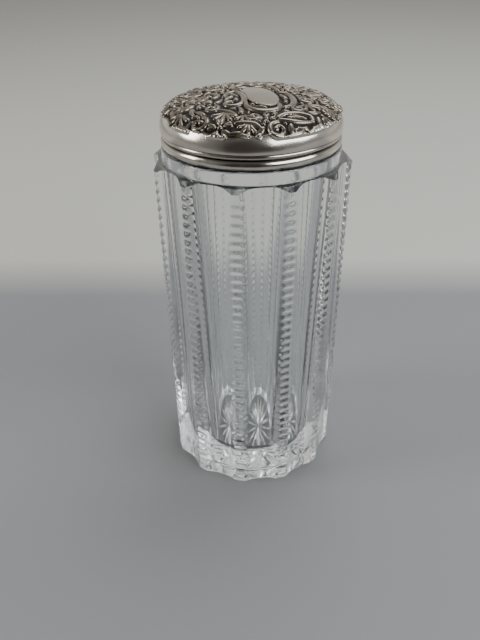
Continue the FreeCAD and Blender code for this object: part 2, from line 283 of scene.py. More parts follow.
AXIS_FOOT = flute_axis(RIDGE_FOOT, FLUTE_DEPTH_FOOT)
AXIS_TOP = flute_axis(RIDGE_TOP, FLUTE_DEPTH_TOP)


def blend(first, second):
    """Smaller of two radii, run together as fire polishing rounds an edge."""
    low, gap = min(first, second), abs(first - second)
    return low - POLISH * math.log(1 + math.exp(-gap / POLISH))


def wall_radius(offset, height):
    """Radius of the finished wall: flute, flat ridge and the notches across it."""
    axis = AXIS_FOOT + (AXIS_TOP - AXIS_FOOT) * height / RIDGE_TIP
    flute = axis * math.cos(offset) - math.sqrt(FLUTE_RADIUS ** 2 - (axis * math.sin(offset)) ** 2)
    ridge = ridge_radius(height)
    step = (height - NOTCH_START) / NOTCH_PITCH
    nearest = min(max(round(step), 0), NOTCH_COUNT - 1)
    away = abs(height - NOTCH_START - nearest * NOTCH_PITCH) / NOTCH_HALF_OPENING
    cut = NOTCH_DEPTH * (1.12 - math.sqrt(away ** 2 + 0.12 ** 2))
    notched = (ridge - cut) / math.cos(HALF_PANEL - abs(offset))
    return blend(flute, min(ridge, notched))


def wall_rows():
    """Heights of the rows up the outer wall, crowded round the notches."""
    heights = [0.0, 0.06 * MM, 0.18 * MM, EDGE_SOFTNESS, 1.0 * MM, 1.7 * MM, 2.35 * MM, 2.95 * MM]
    for notch in range(NOTCH_COUNT):
        middle = NOTCH_START + notch * NOTCH_PITCH
        for share in (0, 0.2, 0.367, 0.5, 0.633, 0.8):
            heights.append(middle + share * NOTCH_PITCH)
    last = heights[-1]
    heights += [last + k * (SHOULDER_HEIGHT - last) / 4 for k in range(1, 4)]
    return heights


outer_wall = [(ridge_radius(height), height) for height in wall_rows()]
BEVEL_ROWS = 6
jar_section = (
    straight((0, FOOT_HOLLOW), (FOOT_RING_RADIUS - 2.4 * MM, FOOT_HOLLOW), 26)
    + [(FOOT_RING_RADIUS - 0.3 * MM * (8 - k), FOOT_HOLLOW * (1 + math.cos(math.pi * k / 8)) / 2)
       for k in range(9)]
    + straight((FOOT_RING_RADIUS + 0.6 * MM, 0), (RIDGE_FOOT - 1.5 * MM, 0), 4)
    + outer_wall
    + [(ridge_radius(SHOULDER_HEIGHT), SHOULDER_HEIGHT)]
    + [(RIDGE_TOP - 0.4 * MM * k, SHOULDER_HEIGHT) for k in range(1, BEVEL_ROWS)]
    + [(COLLAR_RADIUS + 0.5 * MM, SHOULDER_HEIGHT)]
    + arc((COLLAR_RADIUS + 0.3 * MM, SHOULDER_HEIGHT + 0.3 * MM), 0.3 * MM, 270, 180, 3)
    + straight((COLLAR_RADIUS, SHOULDER_HEIGHT + 0.6 * MM), (COLLAR_RADIUS, LEDGE_HEIGHT - 0.7 * MM), 3)
    + arc((COLLAR_RADIUS - 0.6 * MM, LEDGE_HEIGHT - 0.6 * MM), 0.6 * MM, 0, 90, 5)
    + arc((NECK_RADIUS + 0.3 * MM, LEDGE_HEIGHT + 0.3 * MM), 0.3 * MM, 270, 180, 2)
    + straight((NECK_RADIUS, LEDGE_HEIGHT + 1.0 * MM), (NECK_RADIUS, jar_high.z - 1.2 * MM), 3)
    + arc((NECK_RADIUS - 0.9 * MM, jar_high.z - 0.9 * MM), 0.9 * MM, 0, 90, 5)
    + arc((MOUTH_RADIUS + 0.9 * MM, jar_high.z - 0.9 * MM), 0.9 * MM, 90, 180, 5)
    + straight((MOUTH_RADIUS, jar_high.z - 1.5 * MM),
               (CAVITY_FOOT_RADIUS + 0.05 * MM, FLOOR_HEIGHT + FLOOR_ROUND + 0.5 * MM), 14)
    + arc((CAVITY_FOOT_RADIUS - FLOOR_ROUND, FLOOR_HEIGHT + FLOOR_ROUND), FLOOR_ROUND, 0, -90, 9)
    + straight((CAVITY_FOOT_RADIUS - FLOOR_ROUND - 1.0 * MM, FLOOR_HEIGHT), (0, FLOOR_HEIGHT), 6)
    + [(0, FLOOR_HEIGHT)])

jar_bm = spin_section(jar_section, SIDES * COLUMNS_PER_PANEL, closed=False)


def star_height(radius, angle):
    """Height of a ray of the star above the field under the foot."""
    if radius >= RAY_REACH:
        return 0.0
    spread = math.pi / RAY_COUNT
    off_ray = abs((angle + spread) % (2 * spread) - spread)
    if radius < RAY_SHOULDER:
        rise, width = radius / RAY_SHOULDER, spread
    else:
        rise = (RAY_REACH - radius) / (RAY_REACH - RAY_SHOULDER)
        width = spread * rise * RAY_SHOULDER / radius
    rise = max(rise, 0.25 * (1 - radius / RAY_SHOULDER))
    return RAY_DEPTH * rise * max(0.0, 1 - off_ray / width)


WALL_LIMIT = 28.3 * MM
for vert in jar_bm.verts:
    radius = math.hypot(vert.co.x, vert.co.y)
    height = vert.co.z
    angle = math.atan2(vert.co.y, vert.co.x)
    if height < 0.5 * MM and radius < FOOT_RING_RADIUS:
        vert.co.z += star_height(radius, angle)
        continue
    if radius < WALL_LIMIT - 0.5 * MM or height > SHOULDER_HEIGHT + 0.01 * MM:
        continue
    # columns crowd towards the ridges, where the notches need them
    offset = (angle + HALF_PANEL) % (2 * HALF_PANEL) - HALF_PANEL
    middle = angle - offset
    crowded = offset + 0.62 * HALF_PANEL / math.pi * math.sin(math.pi * offset / HALF_PANEL)
    reach = min(max((radius - 24 * MM) / (5 * MM), 0), 1)
    crowded = offset + (crowded - offset) * reach
    angle = middle + crowded
    wall = wall_radius(crowded, min(height, SHOULDER_HEIGHT))
    if height < SHOULDER_HEIGHT - 0.001 * MM and radius > RIDGE_FOOT - 1.4 * MM:
        top = SHOULDER_HEIGHT - max(0.0, wall - SHOULDER_RADIUS) * SHOULDER_SLOPE
        if height > RIDGE_TIP - 1.5 * MM:
            share = (height - RIDGE_TIP + 1.5 * MM) / (SHOULDER_HEIGHT - RIDGE_TIP + 1.5 * MM)
            height = RIDGE_TIP - 1.5 * MM + share * (top - RIDGE_TIP + 1.5 * MM)
            wall = wall_radius(crowded, height)
        if height < EDGE_SOFTNESS:
            inward = EDGE_SOFTNESS - math.sqrt(max(0.0, EDGE_SOFTNESS ** 2 - (EDGE_SOFTNESS - height) ** 2))
            wall -= inward
        radius = min(wall, RIDGE_FOOT - FOOT_BEVEL + height) if height < 2 * FOOT_BEVEL else wall
    elif height >= SHOULDER_HEIGHT - 0.001 * MM:
        if radius > COLLAR_RADIUS + 0.6 * MM:
            share = (RIDGE_TOP - radius) / (0.4 * MM * BEVEL_ROWS)
            inner = min(wall, SHOULDER_RADIUS)
            radius = wall + (inner - wall) * min(share * 1.2, 1)
            height = SHOULDER_HEIGHT - max(0.0, radius - SHOULDER_RADIUS) * SHOULDER_SLOPE
    else:
        radius = min(radius, wall - EDGE_SOFTNESS)
    vert.co = (radius * math.cos(angle), radius * math.sin(angle), height)

bmesh.ops.remove_doubles(jar_bm, verts=jar_bm.verts, dist=0.01 * MM)

glass, glass_tree, glass_output = new_material("pressed_glass")
glass_place = add_node(glass_tree, "ShaderNodeTexCoord")
glass_noise = add_node(glass_tree, "ShaderNodeTexNoise", Scale=90.0, Detail=3.0, Roughness=0.55)
glass_tree.links.new(glass_place.outputs["Object"], glass_noise.inputs["Vector"])
glass_bump = add_node(glass_tree, "ShaderNodeBump", Strength=0.12, Distance=0.0004)
glass_tree.links.new(glass_noise.outputs["Fac"], glass_bump.inputs["Height"])
glass_shader = add_node(glass_tree, "ShaderNodeBsdfPrincipled", Roughness=0.075, IOR=1.52,
                        Transmission_Weight=1.0)
glass_colour = ramp(glass_tree, glass_noise.outputs["Fac"],
                    [(0.3, (0.955, 0.975, 0.975)), (0.7, (0.975, 0.985, 0.985))])
glass_tree.links.new(glass_colour, glass_shader.inputs["Base Color"])
glass_tree.links.new(glass_bump.outputs["Normal"], glass_shader.inputs["Normal"])
glass_tree.links.new(glass_shader.outputs["BSDF"], glass_output.inputs["Surface"])

jar = finish_piece("pressed_jar", jar_bm, glass, 50)
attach(jar, "jar")
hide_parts("glass_jar")

# ==========================================================================================
# Lid band: plain sleeve of sheet silver that slips over the neck, hidden by the rings that
# are soldered round it. The CAD piece is shown as it is, in the silver of the whole lid.
# ==========================================================================================
GROOVE_RADIUS = 27.25 * MM          # where the painted groove shade and tarnish are darkest
PROUD_RADIUS = 27.8 * MM            # from here outwards the silver is rubbed bright, clear of the painted groove shade and tarnish

silver, silver_tree, silver_output = new_material("polished_silver")
silver_place = add_node(silver_tree, "ShaderNodeTexCoord")
silver_noise = add_node(silver_tree, "ShaderNodeTexNoise", Scale=260.0, Detail=6.0, Roughness=0.6)
silver_tree.links.new(silver_place.outputs["Object"], silver_noise.inputs["Vector"])
silver_colour = ramp(silver_tree, silver_noise.outputs["Fac"],
                     [(0.35, (0.66, 0.61, 0.54)), (0.62, (0.78, 0.73, 0.65))])
silver_flat = add_node(silver_tree, "ShaderNodeVectorMath")
silver_flat.operation = "MULTIPLY"
silver_flat.inputs[1].default_value = (1, 1, 0)
silver_tree.links.new(silver_place.outputs["Object"], silver_flat.inputs[0])
silver_reach = add_node(silver_tree, "ShaderNodeVectorMath")
silver_reach.operation = "LENGTH"
silver_tree.links.new(silver_flat.outputs["Vector"], silver_reach.inputs[0])
silver_proud = add_node(silver_tree, "ShaderNodeMapRange", From_Min=GROOVE_RADIUS,
                        From_Max=PROUD_RADIUS)
silver_tree.links.new(silver_reach.outputs["Value"], silver_proud.inputs["Value"])
# painted shade with tarnish: the silver darkens inwards to near black in the grooves where the rings meet
# the band
silver_groove_shade_and_tarnish = ramp(silver_tree, silver_proud.outputs["Result"],
                     [(0.0, (0.06, 0.05, 0.05)), (0.45, (0.30, 0.27, 0.25)), (1.0, (1.0, 1.0, 1.0))])
silver_tone = add_node(silver_tree, "ShaderNodeVectorMath")
silver_tone.operation = "MULTIPLY"
silver_tree.links.new(silver_colour, silver_tone.inputs[0])
silver_tree.links.new(silver_groove_shade_and_tarnish, silver_tone.inputs[1])
silver_rough = add_node(silver_tree, "ShaderNodeMapRange", From_Min=0.3, From_Max=0.7,
                        To_Min=0.10, To_Max=0.22)
silver_tree.links.new(silver_noise.outputs["Fac"], silver_rough.inputs["Value"])
silver_wave = add_node(silver_tree, "ShaderNodeTexNoise", Scale=110.0, Detail=1.0)
silver_tree.links.new(silver_place.outputs["Object"], silver_wave.inputs["Vector"])
silver_dents = add_node(silver_tree, "ShaderNodeBump", Strength=0.25, Distance=0.0006)
silver_tree.links.new(silver_wave.outputs["Fac"], silver_dents.inputs["Height"])
silver_bump = add_node(silver_tree, "ShaderNodeBump", Strength=0.10, Distance=0.0002)
silver_tree.links.new(silver_noise.outputs["Fac"], silver_bump.inputs["Height"])
silver_tree.links.new(silver_dents.outputs["Normal"], silver_bump.inputs["Normal"])
silver_shader = add_node(silver_tree, "ShaderNodeBsdfPrincipled", Metallic=1.0)
silver_tree.links.new(silver_tone.outputs["Vector"], silver_shader.inputs["Base Color"])
silver_tree.links.new(silver_rough.outputs["Result"], silver_shader.inputs["Roughness"])
silver_tree.links.new(silver_bump.outputs["Normal"], silver_shader.inputs["Normal"])
silver_tree.links.new(silver_shader.outputs["BSDF"], silver_output.inputs["Surface"])

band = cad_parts["lid_band"]
band.data.materials.clear()
band.data.materials.append(silver)

# ==========================================================================================
# Rim moulding and seam wire: two half-round drawn silver wires, bent to rings and soldered
# round the band, the broad one at the rim and the thin one under the border of the top.
# ==========================================================================================
RING_COLUMNS = 192


def half_round_ring(name, node):
    """Ring with a half-round section that fills the box of its CAD node."""
    low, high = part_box(node)
    height = high.z - low.z
    outer = high.x
    inner = SEAT_RADIUS
    projection = outer - inner
    radius = (height ** 2 / 4 + projection ** 2) / (2 * projection)
    spread = math.degrees(math.asin(height / 2 / radius))
    middle = (low.z + high.z) / 2
    section = arc((outer - radius, middle), radius, -spread, spread, 16)
    section += [(inner, high.z), (inner, low.z)]
    piece = finish_piece(name, spin_section(section, RING_COLUMNS, closed=True), silver, 40)
    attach(piece, "lid")
    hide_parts(node)
    return piece


SEAT_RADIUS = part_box("lid_band")[1].x + 0.05 * MM
half_round_ring("half_round_rim", "rim_moulding")
half_round_ring("half_round_wire", "seam_wire")

# ==========================================================================================
# Top: one sheet of silver stamped and chased from behind. A plain polished border rises to
# the knuckle, and scrolls, leaves and flowers cover the dome round a bare oval.
# ==========================================================================================
top_low, top_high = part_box("lid_top")
BORDER_RADIUS = 28.0 * MM
SHEET = 0.5 * MM
BORDER_HEIGHT = 1.0 * MM
DOME_FOOT = top_low.z + BORDER_HEIGHT
DOME_HEIGHT = 9.2 * MM
KNUCKLE_RADIUS = 7.0 * MM
KNUCKLE_CENTRE = BORDER_RADIUS - KNUCKLE_RADIUS
CROWN_RADIUS = ((KNUCKLE_CENTRE ** 2 + DOME_HEIGHT ** 2 - KNUCKLE_RADIUS ** 2)
                / (2 * (DOME_HEIGHT - KNUCKLE_RADIUS)))
CROWN_CENTRE = DOME_FOOT + DOME_HEIGHT - CROWN_RADIUS
KNUCKLE_LEAN = math.asin(KNUCKLE_CENTRE / (CROWN_RADIUS - KNUCKLE_RADIUS))
CROWN_LENGTH = CROWN_RADIUS * KNUCKLE_LEAN
RELIEF_EDGE = math.radians(24)          # where the chasing ends on the knuckle, above level
RELIEF_LENGTH = CROWN_LENGTH + KNUCKLE_RADIUS * (math.pi / 2 - KNUCKLE_LEAN - RELIEF_EDGE)
RELIEF_CELLS = 260
RELIEF_HEIGHT = 1.0 * MM
RELIEF_SUNK = 0.6 * MM
CREASE_DEPTH = 0.13 * MM                # hollows as deep as this get the full painted shade and oxide


def dome_place(length):
    """Radius, height and outward slope on the dome, this far from the crown along the sheet."""
    if length < CROWN_LENGTH:
        lean = length / CROWN_RADIUS
        return CROWN_RADIUS * math.sin(lean), CROWN_CENTRE + CROWN_RADIUS * math.cos(lean), lean
    lean = KNUCKLE_LEAN + (length - CROWN_LENGTH) / KNUCKLE_RADIUS
    return (KNUCKLE_CENTRE + KNUCKLE_RADIUS * math.sin(lean),
            DOME_FOOT + KNUCKLE_RADIUS * math.cos(lean), lean)


# The relief is a field of rounded bumps laid along strokes. Places are in millimetres on the
# sheet laid flat, from the crown, as the viewer sees it: x to the right and y away.
bumps = []


def lay_stroke(points, widths, rise):
    """Bumps along a smooth line; widths are the half widths at its start, middle and end."""
    points = [Vector((x, y, 0)) for x, y in points]
    count = len(points)
    samples = []
    for number in range(count - 1):
        before = points[max(number - 1, 0)]
        start, end = points[number], points[number + 1]
        after = points[min(number + 2, count - 1)]
        steps = max(2, int((end - start).length / 0.25))
        for step in range(steps):
            t = step / steps
            samples.append(0.5 * ((2 * start) + (end - before) * t
                                  + (2 * before - 5 * start + 4 * end - after) * t ** 2
                                  + (3 * start - before - 3 * end + after) * t ** 3))
    samples.append(points[-1])
    for number, spot in enumerate(samples):
        t = number / (len(samples) - 1)
        first, middle, last = widths
        half = first + (middle - first) * 2 * t if t < 0.5 else middle + (last - middle) * (2 * t - 1)
        bumps.append((spot.x, spot.y, max(half, 0.2), rise * min(1, 0.5 + half * 0.6)))


def lay_scroll(x, y, radius, start, turns, hand, width=1.0, rise=0.9, tail=0.0):
    """Scroll that winds inwards to a boss; start in degrees, hand 1 for counter-clockwise."""
    steps = max(8, int(turns * 12))
    points = []
    if tail:
        lead = math.radians(start - hand * 70)
        points.append((x + (radius + tail) * math.cos(lead), y + (radius + tail) * math.sin(lead)))
    for step in range(steps + 1):
        t = step / steps
        angle = math.radians(start) + hand * turns * 2 * math.pi * t
        reach = radius * (1 - 0.75 * t)
        points.append((x + reach * math.cos(angle), y + reach * math.sin(angle)))
    lay_stroke(points, (width * 0.7, width, width * 0.55), rise)
    bumps.append((points[-1][0], points[-1][1], width * 1.1, rise * 1.12))


def lay_fan(x, y, direction, length, spread, fingers=5, width=0.85, rise=0.85, curl=25):
    """Lobed leaf or shell: rounded fingers that spring from one foot, the middle ones longest."""
    for finger in range(fingers):
        t = finger / (fingers - 1) * 2 - 1
        out = math.radians(direction + t * spread / 2)
        bend = out + math.radians(curl) * t
        reach = length * (1 - 0.22 * t * t)
        foot = (x + 0.2 * length * math.cos(out), y + 0.2 * length * math.sin(out))
        knee = (x + 0.62 * reach * math.cos(out), y + 0.62 * reach * math.sin(out))
        tip = (knee[0] + 0.38 * reach * math.cos(bend), knee[1] + 0.38 * reach * math.sin(bend))
        lay_stroke([foot, knee, tip], (width * 0.5, width * 0.8, width), rise)


def lay_leaf(x, y, direction, length, width, bend=0.0, lobes=4, rise=0.85):
    """Acanthus leaf: a curved stem with pairs of rounded lobes that curl off it."""
    stem = []
    for step in range(6):
        t = step / 5
        turn = math.radians(direction + bend * t)
        stem.append((x + length * t * math.cos(turn), y + length * t * math.sin(turn)))
    lay_stroke(stem, (0.8, 0.7, 0.5), rise)
    for lobe in range(lobes):
        t = lobe / (lobes - 1)
        turn = math.radians(direction + bend * t)
        along = length * (0.12 + 0.72 * t)
        foot = (x + along * math.cos(turn), y + along * math.sin(turn))
        reach = width * (0.75 + 0.5 * math.sin(math.pi * t)) * (1 - 0.35 * t)
        for side in (-1, 1):
            out = turn + side * math.radians(60 - 20 * t)
            knee = (foot[0] + 0.6 * reach * math.cos(out), foot[1] + 0.6 * reach * math.sin(out))
            curl = out - side * math.radians(40)
            tip = (knee[0] + 0.4 * reach * math.cos(curl), knee[1] + 0.4 * reach * math.sin(curl))
            lay_stroke([foot, knee, tip], (0.45, 0.75, 0.8), rise * 0.95)
    bumps.append((stem[-1][0], stem[-1][1], 0.9, rise))


def lay_flower(x, y, radius, petals=5, turn=0.0, rise=0.85):
    """Open flower: blunt petals about a boss, each split by a vein."""
    for petal in range(petals):
        angle = math.radians(turn) + 2 * math.pi * petal / petals
        for side in (-1, 1):
            split = angle + side * 0.30 * math.pi / petals
            lay_stroke([(x + radius * 0.42 * math.cos(angle), y + radius * 0.42 * math.sin(angle)),
                        (x + radius * 0.72 * math.cos(split), y + radius * 0.72 * math.sin(split)),
                        (x + radius * math.cos(split), y + radius * math.sin(split))],
                       (radius * 0.14, radius * 0.24, radius * 0.25), rise)
    bumps.append((x, y, radius * 0.30, rise * 1.12))


OVAL_X, OVAL_Y = 2.6, -3.0
OVAL_LONG, OVAL_SHORT = 9.6, 4.9
OVAL_TURN = math.radians(109)


def oval_share(x, y, margin=0.0):
    """Below 1 inside the oval, widened by a margin."""
    along = (x - OVAL_X) * math.cos(OVAL_TURN) + (y - OVAL_Y) * math.sin(OVAL_TURN)
    across = -(x - OVAL_X) * math.sin(OVAL_TURN) + (y - OVAL_Y) * math.cos(OVAL_TURN)
    return math.hypot(along / (OVAL_LONG + margin), across / (OVAL_SHORT + margin))


# frame of the oval: a scroll on either side, a ribbon below it and a crest above
lay_stroke([(-8.0, -3.6), (-7.0, -0.4), (-4.8, 0.8), (-3.0, -1.6), (-2.0, -6.0), (-2.6, -9.8),
            (-4.4, -11.8), (-6.8, -11.6), (-7.4, -9.6), (-5.8, -8.8)], (0.8, 1.15, 0.8), 1.0)
lay_stroke([(-1.6, -9.6), (-1.4, -12.0), (0.4, -14.6), (3.5, -15.6), (6.7, -14.6), (8.2, -12.2),
            (7.8, -10.2)], (0.8, 1.25, 0.8), 1.0)
lay_stroke([(8.4, 0.2), (10.4, -0.2), (11.9, -3.0), (12.4, -7.2), (11.4, -10.8), (9.6, -12.6)],
           (0.8, 1.3, 0.8), 1.0)
lay_scroll(13.6, -12.6, 2.0, 120, 1.1, 1, 0.85)
lay_stroke([(-3.4, 2.4), (-5.6, 4.6), (-5.8, 8.0), (-3.2, 10.2), (-0.4, 9.4)], (0.8, 1.15, 0.8), 1.0)
lay_stroke([(0.4, 9.6), (2.4, 11.6), (5.0, 10.8), (6.0, 8.0), (7.6, 4.6), (8.2, 2.2)],
           (0.8, 1.15, 0.8), 1.0)
lay_scroll(-9.2, 3.4, 2.3, -30, 1.2, 1, 0.9)
lay_scroll(11.6, 4.4, 2.3, 210, 1.2, -1, 0.9)

# near side, inner row
lay_flower(-15.6, -7.4, 3.6, 5)
lay_leaf(-17.8, -9.4, 200, 5.4, 2.6, -15)
lay_leaf(-12.2, -2.4, 195, 8.0, 2.7, -18)
lay_scroll(-11.4, -12.6, 2.3, 60, 1.2, -1, 0.9)
lay_stroke([(-9.6, -14.6), (-7.6, -15.2), (-5.6, -16.6), (-4.2, -18.6)], (0.7, 1.0, 0.7), 0.95)
lay_fan(-7.0, -15.6, 258, 5.4, 80, 5, 0.9)
lay_scroll(0.6, -19.4, 1.9, 200, 1.2, 1, 0.8)
lay_flower(4.2, -20.0, 2.3, 4)
lay_fan(-2.4, -18.2, 285, 3.6, 90, 4, 0.75)
lay_stroke([(7.4, -19.4), (9.4, -17.2), (12.8, -15.8), (16.6, -16.6), (17.6, -18.6)],
           (0.7, 1.1, 0.8), 0.95)
lay_stroke([(8.0, -20.6), (11.4, -20.8), (14.6, -20.4), (17.0, -19.2)], (0.7, 1.0, 0.7), 0.9)
lay_stroke([(10.4, -18.8), (13.0, -18.0), (15.4, -18.2)], (0.5, 0.75, 0.5), 0.8)
lay_scroll(16.6, -4.4, 2.5, 100, 1.2, 1, 0.95)
lay_fan(15.6, -8.0, 300, 4.8, 100, 5, 0.85)
lay_leaf(19.6, -7.6, 310, 6.4, 2.6, 10)

# near side, outer row, down to the border
lay_scroll(-14.9, -20.6, 2.9, 60, 1.15, -1, 1.0, 1.0)
lay_fan(-19.4, -13.2, 225, 5.4, 100, 5, 0.95)
lay_scroll(-22.8, -9.6, 2.4, 150, 1.2, -1, 0.95)
lay_fan(-19.6, -18.4, 228, 4.2, 90, 4, 0.9)
lay_flower(-8.8, -24.0, 3.2, 5, 15)
lay_fan(-9.6, -24.6, 248, 4.4, 60, 4, 0.8)
lay_stroke([(-6.0, -26.6), (-3.6, -26.8), (-1.2, -27.8)], (0.7, 1.0, 0.6), 0.9)
lay_stroke([(-4.2, -23.0), (-1.8, -22.8), (0.8, -23.4), (2.6, -25.2)], (0.7, 1.1, 0.7), 1.0)
lay_fan(-0.6, -22.8, 268, 4.4, 90, 5, 0.85)
lay_scroll(7.6, -25.0, 2.8, 95, 1.25, 1, 1.05, 1.0)
lay_stroke([(7.8, -27.9), (10.4, -27.2), (13.4, -25.2), (14.8, -23.2)], (0.7, 1.1, 0.7), 0.95)
lay_fan(12.4, -22.8, 322, 4.6, 80, 4, 0.9)
lay_fan(18.0, -19.4, 312, 5.2, 90, 5, 0.95)
lay_leaf(20.4, -14.4, 322, 6.4, 2.6, 8)
lay_fan(22.8, -9.0, 335, 4.4, 110, 5, 0.9)
lay_scroll(21.8, -2.6, 2.7, 250, 1.2, 1, 1.0)
lay_scroll(-21.6, -2.6, 2.7, 290, 1.2, -1, 1.0)

# far side, from right to left
lay_leaf(15.4, 1.6, 25, 7.8, 3.0, 12)
lay_scroll(21.0, 9.4, 3.0, 320, 1.25, 1, 1.05)
lay_flower(13.6, 9.2, 3.4, 5)
lay_fan(10.4, 13.4, 55, 6.2, 100, 5)
lay_scroll(15.2, 18.4, 3.0, 40, 1.25, -1, 1.05)
lay_leaf(2.0, 14.0, 80, 8.6, 3.2, 10)
lay_scroll(7.6, 20.8, 3.0, 10, 1.3, -1, 1.05)
lay_scroll(-3.6, 18.8, 3.1, 180, 1.3, 1, 1.05)
lay_flower(-9.2, 12.0, 3.2, 5)
lay_fan(-9.6, 16.6, 110, 6.4, 110, 5)
lay_leaf(-12.0, 7.4, 145, 8.2, 3.1, 10)
lay_scroll(-17.6, 15.6, 3.1, 230, 1.3, -1, 1.05)
lay_fan(-14.4, 2.2, 165, 6.0, 90, 5)
lay_scroll(-22.0, 5.2, 3.0, 300, 1.3, 1, 1.05)
lay_fan(-7.0, 22.6, 105, 5.0, 100, 5)
lay_fan(2.6, 23.6, 85, 4.6, 100, 5)
lay_fan(23.0, 3.2, 5, 4.6, 100, 5)
lay_fan(20.6, 15.0, 38, 5.2, 90, 5)

# short lobes round the edge, then small curled leaves wherever the ground is still open
random.seed(11)
EDGE_LOBES = 52
FILL_TRIES = 1500
FILL_REACH = 26.6


def find_bumps():
    """Search tree of the bumps laid so far."""
    tree = kdtree.KDTree(len(bumps))
    for number, bump in enumerate(bumps):
        tree.insert((bump[0], bump[1], 0), number)
    tree.balance()
    return tree


def open_ground(tree, x, y):
    """Bare distance from here to the nearest bump."""
    return min(gap - bumps[number][2] for spot, number, gap in tree.find_n((x, y, 0), 12))


laid = find_bumps()
for number in range(EDGE_LOBES):
    turn = 2 * math.pi * number / EDGE_LOBES + random.uniform(-0.03, 0.03)
    foot, tip = 25.2 + random.uniform(-0.4, 0.4), 27.7 + random.uniform(-0.3, 0.3)
    if open_ground(laid, (foot + 1) * math.cos(turn), (foot + 1) * math.sin(turn)) < 0.25:
        continue
    lean = turn + random.choice((-1, 1)) * random.uniform(0.02, 0.06)
    lay_stroke([(foot * math.cos(turn), foot * math.sin(turn)),
                (tip * math.cos(lean), tip * math.sin(lean))], (0.7, 1.05, 0.95), 0.85)

for least in (1.0, 0.8, 0.65, 0.55):
    laid = find_bumps()
    fresh = []
    for attempt in range(FILL_TRIES):
        reach = FILL_REACH * math.sqrt(random.random())
        turn = random.uniform(0, 2 * math.pi)
        x, y = reach * math.cos(turn), reach * math.sin(turn)
        if oval_share(x, y, 1.0) < 1 or any(math.hypot(x - a, y - b) < 3.2 for a, b in fresh):
            continue
        bare = open_ground(laid, x, y)
        if bare < least:
            continue
        best = []
        for spoke in range(10):
            lean = 2 * math.pi * spoke / 10
            path = [(x, y)]
            while len(path) < 6:
                lean += 0.16
                spot = path[-1][0] + 0.7 * math.cos(lean), path[-1][1] + 0.7 * math.sin(lean)
                if (open_ground(laid, *spot) < 0.5 or math.hypot(*spot) > 27.2
                        or oval_share(*spot, 0.8) < 1):
                    break
                path.append(spot)
            if len(path) > len(best):
                best = path
        if len(best) < 2:
            continue
        fresh.append((x, y))
        fresh.append(best[-1])
        half = min(bare * 0.75, 1.0)
        lay_stroke(best, (half, half * 0.9, half * 0.5), 0.85)

# outer face of the dome: a square grid wound into a disc, so that its cells stay even
top_bm = bmesh.new()
bmesh.ops.create_grid(top_bm, x_segments=RELIEF_CELLS, y_segments=RELIEF_CELLS, size=1)
recess_shade_and_oxide_layer = top_bm.verts.layers.float.new("recess")
patina_layer = top_bm.verts.layers.float.new("patina")
laid = find_bumps()
widest = max(bump[2] for bump in bumps)
RELIEF_REACH = RELIEF_LENGTH / MM
GROUND_REACH = 27.6
lift = np.zeros((RELIEF_CELLS + 1, RELIEF_CELLS + 1))
bare = np.zeros_like(lift)
field = np.zeros_like(lift)
worn = np.zeros_like(lift)
seats = []
for vert in top_bm.verts:
    along, across = vert.co.x, vert.co.y
    column = round((along + 1) / 2 * RELIEF_CELLS), round((across + 1) / 2 * RELIEF_CELLS)
    if abs(along) > abs(across):
        reach, turn = along, math.pi / 4 * across / along
    elif across:
        reach, turn = across, math.pi / 2 - math.pi / 4 * along / across
    else:
        reach, turn = 0.0, 0.0
    if reach < 0:
        reach, turn = -reach, turn + math.pi
    seats.append((vert, column, reach * RELIEF_LENGTH, turn))
    reach *= RELIEF_REACH
    x, y = reach * math.cos(turn - VIEW_TURN), reach * math.sin(turn - VIEW_TURN)
    height = 0.0
    for place, number, gap in laid.find_range((x, y, 0), widest):
        half, rise = bumps[number][2:]
        if gap < half:
            height = max(height, rise * math.sqrt(1 - (gap / half) ** 2))
    share = oval_share(x, y)
    if share < 1.0:
        height = max(height if share > 0.9 else 0.0, 0.66 + 0.26 * math.sqrt(1 - share ** 2))
    edge = GROUND_REACH + 0.35 * math.sin(9 * turn) + 0.25 * math.sin(23 * turn + 1)
    ground = min(max((edge + 0.5 - reach) / 0.9, 0), 1)
    field[column] = ground
    worn[column] = min(max((edge + 0.9 - reach) / 0.4, 0), 1) * (0.75 if share < 1 else 1)
    bare[column] = ground * max(0.0, 1 - height / 0.5)
    lift[column] = (RELIEF_HEIGHT * height - RELIEF_SUNK * ground) * min(1, (RELIEF_REACH - reach) / 0.5)

# painted shade with oxide: old polish stays dark in the ground and in every crease between two forms
soft = lift
for sweep in range(2):
    padded = np.pad(soft, 2, mode="edge")
    soft = sum(padded[2 + i:2 + i + lift.shape[0], 2 + j:2 + j + lift.shape[1]]
               for i in (-2, -1, 0, 1, 2) for j in (-2, -1, 0, 1, 2)) / 25
crease = np.clip((soft - lift) / CREASE_DEPTH, 0, 1) * field
for vert, column, length, turn in seats:
    radius, level, lean = dome_place(length)
    outward = Vector((math.sin(lean) * math.cos(turn), math.sin(lean) * math.sin(turn), math.cos(lean)))
    vert.co = Vector((radius * math.cos(turn), radius * math.sin(turn), level))
    vert.co += outward * float(lift[column])
    vert[recess_shade_and_oxide_layer] = float(max(bare[column], crease[column]))
    vert[patina_layer] = float(worn[column])

# rest of the sheet: down the border, in to the band and back under the dome
rim_path = []
for step in range(1, 13):
    angle = RELIEF_EDGE * (1 - step / 12)
    rim_path.append((KNUCKLE_CENTRE + KNUCKLE_RADIUS * math.cos(angle),
                     DOME_FOOT + KNUCKLE_RADIUS * math.sin(angle)))
rim_path += arc((BORDER_RADIUS - 0.25 * MM, top_low.z + 0.25 * MM), 0.25 * MM, 0, -90, 3)
rim_path += [(SEAT_RADIUS, top_low.z), (SEAT_RADIUS, top_low.z + SHEET)]
inner_knuckle = 90 - math.degrees(KNUCKLE_LEAN)
hollow = RELIEF_SUNK + SHEET
rim_path += arc((KNUCKLE_CENTRE, DOME_FOOT), KNUCKLE_RADIUS - hollow, 0, inner_knuckle, 4)
rim_path += arc((0, CROWN_CENTRE), CROWN_RADIUS - hollow, inner_knuckle, 89.9, 3)[1:]
ring = [edge for edge in top_bm.edges if edge.is_boundary]
